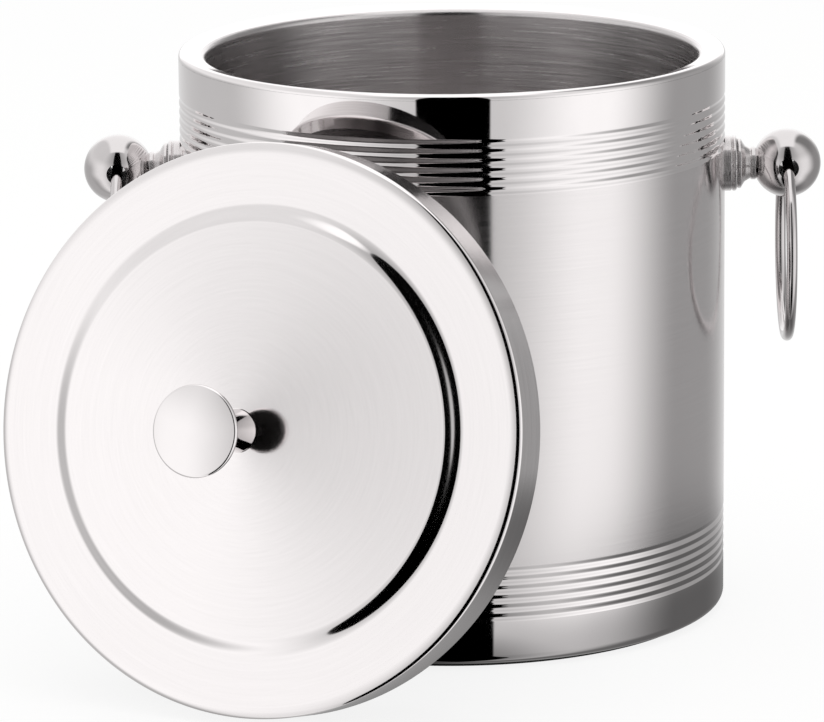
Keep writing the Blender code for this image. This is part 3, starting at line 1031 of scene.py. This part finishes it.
@dataclass
class Lid:
    """The pressed cover, the plug under it and the knob, standing on the table against the wall.

    Heights are measured along the lid's own axis from the hem of its skirt.
    """

    shop: Workshop
    wall_radius: float = WALL_RADIUS
    yaw_deg: float = 25.0
    lean_deg: float = 12.3
    rest_gap: float = 0.3
    radius: float = 82.1
    side: float = 14.6
    sheet: float = 0.8
    edge_run: float = 3.5
    edge_drop: float = 1.5
    hem_round: float = 1.0
    hem_radius: float = 77.2
    step_radius: float = 64.7
    step_run: float = 5.7
    step_rise: float = 2.3
    cone_rise: float = 10.3
    boss_radius: float = 6.4
    boss_round: float = 0.2
    bore_radius: float = BORE_RADIUS
    skirt_share: float = 1.1
    spread_share: float = 0.2
    plug_top_radius: float = 73.19
    plug_foot_radius: float = 69.99
    plug_depth: float = 25.0
    plug_corner: float = 3.0
    pan_seat: float = 1.1
    pan_reach: float = 81.0
    pan_round: float = 0.6
    neck_radius: float = 6.2
    neck_waist: float = 0.8
    seam: float = 0.08
    cap_start: float = 45.8
    cap_stem: float = 6.2
    cap_radius: float = 13.1
    cap_foot_round: float = 0.2
    cap_stem_round: float = 0.4
    cap_edge_round: float = 0.9
    cap_edge_slope: float = 12.0

    @property
    def axis(self) -> Vector:
        """Direction out of the lid's face."""
        yaw = math.radians(self.yaw_deg)
        lean = math.radians(self.lean_deg)
        return Vector((
            -math.sin(yaw) * math.cos(lean), -math.cos(yaw) * math.cos(lean), math.sin(lean),
        ))

    @property
    def centre(self) -> Vector:
        """Where the lid's axis meets the plane of its hem, in millimetres."""
        yaw = math.radians(self.yaw_deg)
        lean = math.radians(self.lean_deg)
        corner = self.plug_corner
        deep = (self.plug_depth - corner) * math.cos(lean)
        wide = (self.plug_foot_radius - corner) * math.sin(lean)
        distance = self.wall_radius + self.rest_gap + corner + (deep + wide)
        hem = self.hem_round
        height = hem + (self.radius - hem) * math.cos(lean) - hem * math.sin(lean)
        return Vector((-distance * math.sin(yaw), -distance * math.cos(yaw), height))

    @property
    def placement(self) -> Matrix:
        """The matrix from the lid's own axes into the frame."""
        turn = self.axis.to_track_quat("Z", "Y").to_matrix().to_4x4()
        return Matrix.Translation(self.centre * MM) @ turn

    @property
    def boss_height(self) -> float:
        """Height of the flat boss that carries the knob."""
        return self.side + self.step_rise + self.cone_rise

    def brushed(
        self, name: str, colours: tuple[str, str], roughness: float, anisotropy: float,
        scratch_mm: float, depth_mm: float,
    ) -> Material:
        """A finish brushed round the lid's own axis.

        Args:
            name: Name of the material.
            colours: The steel between the scratches and in them.
            roughness: How far the scratches spread a reflection.
            anisotropy: How much of that goes across the scratches.
            scratch_mm: Spacing at which the scratches are drawn.
            depth_mm: Depth at which they are drawn.

        Returns:
            The material.
        """
        lathe = Lathe(tuple(self.centre * MM), tuple(self.axis))
        spread = self.spread_share * roughness
        return BrushedSteel(
            name, *colours, roughness, spread, anisotropy, scratch_mm, depth_mm, lathe,
        ).material()

    def step(self, drop: float, finish: Stretch) -> list[Corner]:
        """The raised step from its foot to its top.

        Args:
            drop: How far the curve is lowered, for the sheet's underside.
            finish: The step's finish.

        Returns:
            Points along the smooth step.
        """
        corners = []
        for share in even_shares(CURVE_STEPS):
            rise = self.step_rise * (1 - math.cos(math.pi * share)) / 2
            out = self.step_radius - self.step_run * share
            corners.append(Corner(out, self.side + rise - drop, 0.0, finish))
        return corners

    def edge(self, inset: float, finish: Stretch) -> list[Corner]:
        """The pressed edge from the skirt up onto the border.

        Args:
            inset: How far the curve is moved in, for the sheet's underside.
            finish: The edge's finish.

        Returns:
            Points along a quarter of an ellipse.
        """
        corners = []
        for share in even_shares(CURVE_STEPS):
            angle = math.pi / 2 * share
            out = self.radius - self.edge_run + (self.edge_run - inset) * math.cos(angle)
            rise = (self.edge_drop - inset) * math.sin(angle)
            corners.append(Corner(out, self.side - self.edge_drop + rise, 0.0, finish))
        return corners

    def build_cover(self) -> None:
        """The pressed cover: brushed skirt, fine-brushed border, and the conical panel in its step."""
        bright = ("#F1EDED", "#E8E4E4")
        border = self.brushed("fine_brushed_stainless_border", bright, 0.07, 0.6, 0.7, 0.0002)
        panel = self.brushed("disc_brushed_stainless_panel", bright, 0.06, 0.8, 0.6, 0.0002)
        skirt = self.brushed("brushed_stainless_skirt", ("#F1EDED", "#D6D2D2"), 0.12, 0.92, 0.9, 0.0006)
        inside = self.radius - self.sheet
        top = self.boss_height
        mesh = self.shop.turn([
            Corner(self.hem_radius, 0.0),
            Corner(self.radius, 0.0, self.hem_round, Stretch.THIRD),
            Corner(self.radius, self.side - self.skirt_share * self.edge_drop, 0.0, Stretch.THIRD),
            *self.edge(0.0, Stretch.FIRST),
            *self.step(0.0, Stretch.FIRST),
            Corner(self.boss_radius, top, self.boss_round, Stretch.SECOND),
            Corner(self.bore_radius, top, 0.0, Stretch.SECOND),
            Corner(self.bore_radius, top - self.sheet),
            Corner(self.boss_radius, top - self.sheet),
            *reversed(self.step(self.sheet, Stretch.FIRST)),
            *reversed(self.edge(self.sheet, Stretch.FIRST)),
            Corner(inside, self.sheet),
            Corner(self.hem_radius, self.sheet),
            Corner(self.hem_radius, 0.0),
        ], [border, panel, skirt], BODY_STEPS, self.placement)
        mount("cover", mesh, "lid", "brushed_steel", "lid_cover")

    def build_pan(self) -> None:
        """The drawn plug, its flange held by the cover's hem, its steel painted dark as painted shade for
        the lid's back against the wall.
        """
        # Dark grey colours: painted shade, where the lid's back faces the wall in shadow.
        shaded_plug_colours = ("#807D7D", "#666363")
        finish = self.brushed("lathe_brushed_stainless_plug_painted_shade", shaded_plug_colours, 0.28, 0.9, 0.8, 0.002)
        seat = self.pan_seat + self.sheet
        floor = self.sheet - self.plug_depth
        mesh = self.shop.turn([
            Corner(0.0, -self.plug_depth),
            Corner(self.plug_foot_radius, -self.plug_depth, self.plug_corner),
            Corner(self.plug_top_radius, self.pan_seat, self.pan_round),
            Corner(self.pan_reach, self.pan_seat),
            Corner(self.pan_reach, seat),
            Corner(self.plug_top_radius - self.sheet, seat),
            Corner(self.plug_foot_radius - self.sheet, floor, self.plug_corner - self.sheet),
            Corner(0.0, floor),
        ], [finish], BODY_STEPS, self.placement)
        mount("plug", mesh, "lid", "brushed_steel", "lid_pan")

    def build_knob(self) -> None:
        """The waisted neck and the low-domed button cap on its stem."""
        start = self.boss_height + self.seam
        end = self.cap_start - self.seam
        waist = []
        for share in even_shares(WAIST_STEPS):
            dip = self.neck_waist * 4 * share * (1 - share)
            waist.append(Corner(self.neck_radius - dip, start + (end - start) * share))
        neck = self.shop.turn([
            Corner(self.bore_radius, end),
            Corner(self.bore_radius, start),
            *waist,
            Corner(self.bore_radius, end),
        ], [self.shop.polished], FITTING_STEPS, self.placement)
        mount("neck", neck, "lid", "polished_steel", "knob_neck")

        edge = self.cap_edge_round
        edge_radius = self.cap_radius - edge
        head = self.cap_start + self.cap_stem
        slope = math.radians(self.cap_edge_slope)
        dome = edge + edge_radius / math.sin(slope)
        centre = head + edge - edge_radius / math.tan(slope)
        first = 90 - self.cap_edge_slope
        # The cap's stem and underside take the near-black painted shade that falls under the cap.
        cap = self.shop.turn([
            Corner(0.0, self.cap_start),
            Corner(self.neck_radius, self.cap_start, self.cap_foot_round),
            Corner(self.neck_radius, head, self.cap_stem_round),
            Corner(edge_radius, head),
            *arc(edge_radius, head + edge, edge, -90, first, Stretch.SECOND)[1:],
            *arc(0.0, centre, dome, first, 90, Stretch.SECOND)[1:],
        ], [self.shop.painted_shade_black, self.shop.polished], FITTING_STEPS, self.placement)
        mount("cap", cap, "lid", "polished_steel", "knob_cap")
        self.shop.plate_hidden("knob_washer", "knob_screw")

    def build(self) -> None:
        """Build every piece of the lid."""
        self.build_cover()
        self.build_pan()
        self.build_knob()


@dataclass
class Tent:
    """The white tent that the steel reflects, as levels by direction, with a dark gap for the camera.

    Azimuths are degrees to either side of the camera, elevations degrees above the table.
    """

    gap_half_width: float = 15.4
    gap_edge: float = 0.5
    gap_spread: float = 11.0
    gap_spread_start: float = -18.0
    gap_spread_full: float = -48.0
    near_level: float = 0.68
    softbox_azimuth: float = 58.0
    softbox_level: float = 1.15
    softbox_end: float = 66.0
    softbox_foot: float = -11.0
    softbox_low: float = -36.0
    softbox_narrowing: float = 14.0
    flat_azimuth: float = 109.0
    flat_level: float = 0.37
    flat_end: float = 132.0
    left_flat_level: float = 0.22
    left_high_level: float = 0.62
    left_foot: float = -5.0
    left_full: float = 20.0
    back_level: float = 0.78
    backdrop_level: float = 0.4
    backdrop_foot: float = -5.0
    backdrop_full: float = 6.0
    ceiling_start: float = 8.0
    ceiling_full: float = 34.0
    ceiling_share: float = 0.77
    overhead_start: float = 65.0
    overhead_full: float = 70.0
    overhead_half: float = 0.35
    overhead_edge: float = 0.08
    overhead_level: float = 1.25
    ambient: float = 0.8

    def level(self, tree: Tree) -> Node:
        """Work out how bright the tent is in each direction.

        Args:
            tree: The world's tree.

        Returns:
            Node whose first output is the level that a reflection shows.
        """
        direction = add_node(tree, "ShaderNodeTexCoord").outputs["Generated"]
        way = add_node(tree, "ShaderNodeSeparateXYZ", {0: direction})
        ahead = add_node(tree, "ShaderNodeMath", {0: way.outputs["Y"], 1: -1.0}, operation="MULTIPLY")
        swing = add_node(tree, "ShaderNodeMath", {0: way.outputs["X"], 1: ahead}, operation="ARCTAN2")
        over = add_node(tree, "ShaderNodeMath", {0: way.outputs["Z"], 1: ahead}, operation="ARCTAN2")
        rise = add_node(tree, "ShaderNodeMath", {0: way.outputs["Z"]}, operation="ARCSINE")
        side, pitch, elevation = (
            add_node(tree, "ShaderNodeMath", {0: angle}, operation="DEGREES")
            for angle in (swing, over, rise)
        )
        azimuth, across = (
            add_node(tree, "ShaderNodeMath", {0: value}, operation="ABSOLUTE")
            for value in (side, way.outputs["X"])
        )
        # Towards the table the softbox narrows and the gap spreads.
        rounded, inside = (
            add_node(tree, "ShaderNodeMath", {
                0: azimuth,
                1: add_node(tree, "ShaderNodeMapRange", {
                    "Value": elevation, 1: low, 2: high, 3: shift, 4: 0.0,
                }, interpolation_type="SMOOTHSTEP"),
            }, operation=operation)
            for low, high, shift, operation in (
                (self.softbox_low, self.softbox_foot, self.softbox_narrowing, "ADD"),
                (self.gap_spread_full, self.gap_spread_start, self.gap_spread, "SUBTRACT"),
            )
        )
        gap, gap_edge = self.gap_half_width, self.gap_edge
        strip, strip_edge = self.overhead_half, self.overhead_edge
        left_low, left_high = self.left_flat_level, self.left_high_level
        to_softbox = self.softbox_level - self.near_level
        to_flat = self.flat_level - self.softbox_level
        to_back = self.back_level - self.flat_level
        ramps = {
            name: add_node(tree, "ShaderNodeMapRange", {
                "Value": value, 1: start, 2: end, 3: before, 4: after,
            }, interpolation_type="SMOOTHSTEP")
            for name, value, start, end, before, after in (
                ("softbox", azimuth, gap, self.softbox_azimuth, 0.0, to_softbox),
                ("flat", rounded, self.softbox_end, self.flat_azimuth, 0.0, to_flat),
                ("back", azimuth, self.flat_end, HALF_TURN, 0.0, to_back),
                ("behind", azimuth, self.flat_end, HALF_TURN, 0.0, 1.0),
                ("raised", elevation, self.backdrop_foot, self.backdrop_full, 0.0, self.backdrop_level),
                ("ceiling", elevation, self.ceiling_start, self.ceiling_full, 1.0, self.ceiling_share),
                ("left", elevation, self.left_foot, self.left_full, left_low, left_high),
                ("left_front", side, -self.flat_azimuth, -self.softbox_end, 1.0, 0.0),
                ("left_back", side, -HALF_TURN, -self.flat_end, 0.0, 1.0),
                ("beside", inside, gap - gap_edge, gap + gap_edge, 0.0, 1.0),
                ("past", pitch, self.overhead_start, self.overhead_full, 0.0, 1.0),
                ("within", across, strip - strip_edge, strip + strip_edge, 1.0, 0.0),
            )
        }
        for name, factor in (
            ("behind", "raised"), ("left", "left_front"), ("left", "left_back"), ("past", "within"),
        ):
            ramps[name] = add_node(tree, "ShaderNodeMath", {
                0: ramps[name], 1: ramps[factor],
            }, operation="MULTIPLY")
        level = self.near_level
        for operation, name in (
            ("ADD", "softbox"), ("ADD", "flat"), ("ADD", "back"), ("ADD", "behind"),
            ("MULTIPLY", "ceiling"), ("ADD", "left"), ("MULTIPLY", "beside"),
        ):
            level = add_node(tree, "ShaderNodeMath", {0: level, 1: ramps[name]}, operation=operation)
        return add_node(tree, "ShaderNodeMix", {
            "Factor": ramps["past"], "A": level, "B": self.overhead_level,
        })

    def build(self) -> None:
        """Build the world: white to the camera, the tent in reflections, plain light on matt surfaces."""
        world = bpy.data.worlds.new("tent")
        bpy.context.scene.world = world
        world.use_nodes = True
        tree = world.node_tree
        ray = add_node(tree, "ShaderNodeLightPath")
        reflected = add_node(tree, "ShaderNodeMix", {
            "Factor": ray.outputs["Is Glossy Ray"], "A": self.ambient, "B": self.level(tree),
        })
        shown = add_node(tree, "ShaderNodeMix", {
            "Factor": ray.outputs["Is Camera Ray"], "A": reflected, "B": 1.0,
        })
        tree.links.new(shown.outputs[0], tree.nodes["Background"].inputs["Color"])


@dataclass(frozen=True)
class Shade:
    """A round patch of table that the object keeps dark in reflections, in metres."""

    spot: tuple[float, float, float]
    level: float
    start: float
    end: float


@dataclass
class Studio:
    """The floor, the lamp and the camera."""

    floor_half: float = 6.0
    floor_colour: str = "#FCFCFB"
    floor_roughness: float = 0.9
    floor_own_light: float = 0.86
    foot_shade: Shade = Shade((0.075, -0.015, 0.0), 0.33, 0.03, 0.17)
    lid_shade: Shade = Shade((-0.036, -0.082, 0.0), 0.06, 0.02, 0.085)
    lamp_height: float = 1.6
    lamp_size: float = 1.4
    lamp_watts: float = 9.0
    camera_spot: tuple[float, float, float] = (-0.01277, -1.6978, 0.4642)
    camera_pitch_deg: float = 77.082
    camera_roll_deg: float = -0.495
    focal_pixels: float = 5699.1
    picture_width: int = 824
    sensor_mm: float = 36.0

    def build_floor(self) -> None:
        """A plain pale sweep that looks white to the camera and keeps the object's shadow.

        In reflections the tent shows through it, dimmed where the bucket and the lid shade the table.
        """
        half = self.floor_half
        mesh = bpy.data.meshes.new("floor")
        corners = [(-half, -half, 0.0), (half, -half, 0.0), (half, half, 0.0), (-half, half, 0.0)]
        mesh.from_pydata(corners, [], [(0, 1, 2, 3)])
        floor = show("floor", mesh)
        material = bpy.data.materials.new("matt_white_paper_sweep")
        material.use_nodes = True
        tree = material.node_tree
        shader = tree.nodes["Principled BSDF"]
        shader.inputs["Base Color"].default_value = linear(self.floor_colour)
        shader.inputs["Roughness"].default_value = self.floor_roughness
        shader.inputs["Specular IOR Level"].default_value = 0.0
        glow = add_node(tree, "ShaderNodeEmission", {"Strength": 1.0})
        ray = add_node(tree, "ShaderNodeLightPath")
        share = add_node(tree, "ShaderNodeMath", {
            0: ray.outputs["Is Camera Ray"], 1: self.floor_own_light,
        }, operation="MULTIPLY")
        paper = add_node(tree, "ShaderNodeMixShader", {0: share, 1: shader, 2: glow})
        place = add_node(tree, "ShaderNodeTexCoord").outputs["Object"]
        dimmed = 1.0
        for shade in (self.foot_shade, self.lid_shade):
            away = add_node(tree, "ShaderNodeVectorMath", {0: place, 1: shade.spot}, operation="DISTANCE")
            part = add_node(tree, "ShaderNodeMapRange", {
                "Value": away.outputs["Value"], 1: shade.start, 2: shade.end, 3: shade.level, 4: 1.0,
            }, interpolation_type="SMOOTHSTEP")
            dimmed = add_node(tree, "ShaderNodeMath", {0: dimmed, 1: part}, operation="MULTIPLY")
        sweep = add_node(tree, "ShaderNodeMixShader", {
            0: ray.outputs["Is Glossy Ray"], 1: paper,
            2: add_node(tree, "ShaderNodeBsdfTransparent", {"Color": dimmed}),
        })
        tree.links.new(sweep.outputs[0], tree.nodes["Material Output"].inputs["Surface"])
        mesh.materials.append(material)

    def build_lamp(self) -> None:
        """One wide soft lamp overhead, for the matt surfaces and the shadow on the floor."""
        lamp = bpy.data.lights.new("overhead", "AREA")
        lamp.size = self.lamp_size
        lamp.energy = self.lamp_watts
        thing = show("overhead", lamp)
        thing.location = (0.0, 0.0, self.lamp_height)
        thing.visible_glossy = False

    def build_camera(self) -> None:
        """The long lens that took the photograph, a little above the rim."""
        camera = bpy.data.cameras.new("camera")
        camera.sensor_fit = "HORIZONTAL"
        camera.sensor_width = self.sensor_mm
        camera.lens = self.focal_pixels * self.sensor_mm / self.picture_width
        thing = show("camera", camera)
        pitch = Matrix.Rotation(math.radians(self.camera_pitch_deg), 4, "X")
        roll = Matrix.Rotation(math.radians(self.camera_roll_deg), 4, "Z")
        thing.matrix_world = Matrix.Translation(self.camera_spot) @ pitch @ roll
        bpy.context.scene.camera = thing

    def build(self) -> None:
        """Build the stage round the object."""
        bpy.context.scene.view_settings.view_transform = "Standard"
        Tent().build()
        self.build_floor()
        self.build_lamp()
        self.build_camera()


def main() -> None:
    """Build the stage and every sub-assembly in order."""
    logging.basicConfig(level=logging.INFO, format="%(name)s: %(message)s")
    Studio().build()
    lathe = Lathe((0.0, 0.0, Handle.height * MM), (1.0, 0.0, 0.0))
    shop = Workshop(
        turned_tree(),
        ribbed_tree(),
        ring_tree(),
        PolishedSteel().material(),
        PolishedSteel("buffed_stainless_fitting", "#D6D2D2", "#CCC8C8", 0.07, 0.04).material(),
        BrushedSteel(
            "satin_turned_stainless_fitting", "#E4E0E0", "#CFCBCB", 0.27, 0.05, 0.88, 0.35, 0.001, lathe,
        ).material(),
        PaintedShadeSteel().material(),
        ZincPlate().material(),
    )
    BucketBody(shop).build()
    for side in Side:
        Handle(shop, side).build()
    Lid(shop).build()


if __name__ == "__main__":
    main()
